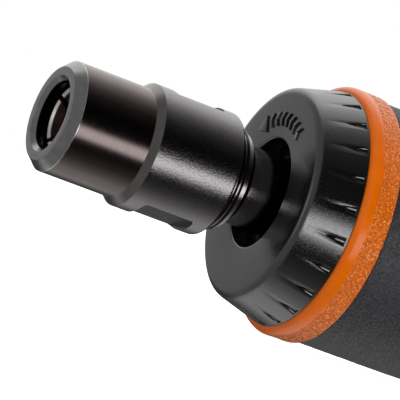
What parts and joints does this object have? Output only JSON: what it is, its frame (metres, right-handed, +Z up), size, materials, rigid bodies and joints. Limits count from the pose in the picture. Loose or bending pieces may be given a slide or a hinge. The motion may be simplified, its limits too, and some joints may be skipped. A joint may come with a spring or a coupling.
{
  "type": "die grinder",
  "caption": "Straight pneumatic die grinder: collet nut on a thin spindle, notched black front cap, orange bumper ring, black rubber grip, top throttle lever and rear air inlet.",
  "frame": {"origin": "centre of the collet's mouth, on the spindle axis", "axes": "-X out of the collet, +X along the spindle to the air inlet, +Z up on the throttle lever's side"},
  "size_m": [0.175, 0.039, 0.0528],
  "materials": {
    "black_oxide_steel": "black-oxide steel, fine turned lines in front and bead-blasted behind",
    "ground_steel": "ground bright steel",
    "spindle_steel": "black-oxide steel, satin",
    "cap_composite": "satin moulded glass-filled nylon",
    "retainer_steel": "dark phosphated steel",
    "seal_rubber": "nitrile rubber",
    "bearing_steel": "ground and polished bearing steel",
    "brass": "turned brass",
    "plate_steel": "ground steel",
    "cylinder_iron": "honed cast iron",
    "vane_phenolic": "woven phenolic",
    "gasket_fibre": "pressed fibre",
    "housing_composite": "moulded glass-filled nylon, fine spark texture",
    "grip_rubber": "soft moulded rubber with a pebbled grain",
    "bumper_rubber": "orange moulded rubber with a leather grain",
    "lever_enamel": "black powder coat",
    "zinc_steel": "zinc-plated steel",
    "muffler_felt": "pressed felt"
  },
  "bodies": {
    "housing_body": {"housing": "housing_composite", "grip": "grip_rubber", "bumper_ring": "bumper_rubber", "front_cap": "cap_composite", "bearing_retainer": "retainer_steel", "spindle_seal": "seal_rubber", "front_bearing_outer": "bearing_steel", "wave_washer": "plate_steel", "front_end_plate": "plate_steel", "cylinder": "cylinder_iron", "rear_end_plate": "plate_steel", "rear_bearing_outer": "bearing_steel", "dowel_pin": "bearing_steel", "gasket": "gasket_fibre", "lever_pin": "zinc_steel", "valve_bush": "brass", "stem_seal": "seal_rubber", "valve_spring": "zinc_steel", "regulator_clip": "retainer_steel", "inlet_bushing": "zinc_steel", "inlet_seal": "seal_rubber", "inlet_screen": "brass", "muffler": "muffler_felt"},
    "rotor_body": {"spindle": "spindle_steel", "rotor": "plate_steel", "vane_1": "vane_phenolic", "vane_2": "vane_phenolic", "vane_3": "vane_phenolic", "vane_4": "vane_phenolic", "vane_5": "vane_phenolic", "front_bearing_inner": "bearing_steel", "rear_bearing_inner": "bearing_steel"},
    "front_ball_body": {"front_bearing_balls": "bearing_steel", "front_bearing_cage": "brass"},
    "rear_ball_body": {"rear_bearing_balls": "bearing_steel", "rear_bearing_cage": "brass"},
    "collet_body": {"collet": "ground_steel"},
    "nut_body": {"collet_nut": "black_oxide_steel"},
    "lever_body": {"throttle_lever": "lever_enamel", "latch_pin": "zinc_steel", "latch_spring": "zinc_steel"},
    "latch_body": {"safety_latch": "zinc_steel"},
    "stem_body": {"valve_stem": "bearing_steel", "poppet_seal": "seal_rubber"},
    "regulator_body": {"regulator": "brass", "regulator_seal": "seal_rubber"},
    "deflector_body": {"exhaust_deflector": "housing_composite"}
  },
  "joints": [
    {"name": "spindle_spin", "type": "hinge", "parent": "housing_body", "child": "rotor_body", "pos_m": [0, 0, 0], "axis": [1, 0, 0], "continuous": true},
    {"name": "front_ball_orbit", "type": "hinge", "parent": "housing_body", "child": "front_ball_body", "pos_m": [0, 0, 0], "axis": [1, 0, 0], "continuous": true},
    {"name": "rear_ball_orbit", "type": "hinge", "parent": "housing_body", "child": "rear_ball_body", "pos_m": [0, 0, 0], "axis": [1, 0, 0], "continuous": true},
    {"name": "collet_travel", "type": "slide", "parent": "rotor_body", "child": "collet_body", "axis": [-1, 0, 0], "range_m": [0, 0.002]},
    {"name": "nut_turn", "type": "hinge", "parent": "collet_body", "child": "nut_body", "pos_m": [0, 0, 0], "axis": [-1, 0, 0], "range_deg": [0, 730]},
    {"name": "lever_press", "type": "hinge", "parent": "housing_body", "child": "lever_body", "pos_m": [0.1402, 0, 0.0222], "axis": [0, -1, 0], "range_deg": [0, 7], "stiffness_Nm_per_rad": 3, "springref_deg": -5.73},
    {"name": "latch_swing", "type": "hinge", "parent": "lever_body", "child": "latch_body", "pos_m": [0.0982, 0, 0.02606], "axis": [0, -1, 0], "range_deg": [0, 90]},
    {"name": "stem_slide", "type": "slide", "parent": "housing_body", "child": "stem_body", "axis": [0, 0, -1], "range_m": [0, 0.0021], "deforming": ["valve_spring"]},
    {"name": "regulator_turn", "type": "hinge", "parent": "housing_body", "child": "regulator_body", "pos_m": [0.1242, 0, -0.0137], "axis": [0, 0, -1], "range_deg": [0, 180]},
    {"name": "deflector_swivel", "type": "hinge", "parent": "housing_body", "child": "deflector_body", "pos_m": [0, 0, 0], "axis": [1, 0, 0], "continuous": true}
  ],
  "couplings": [
    {"joint": "front_ball_orbit", "follows": "spindle_spin", "ratio": 0.4167},
    {"joint": "rear_ball_orbit", "follows": "spindle_spin", "ratio": 0.3615},
    {"joint": "nut_turn", "follows": "collet_travel", "rad_per_m": 6283.2},
    {"joint": "latch_swing", "follows": "lever_press", "ratio": 12.57},
    {"joint": "stem_slide", "follows": "lever_press", "m_per_rad": 0.016}
  ]
}
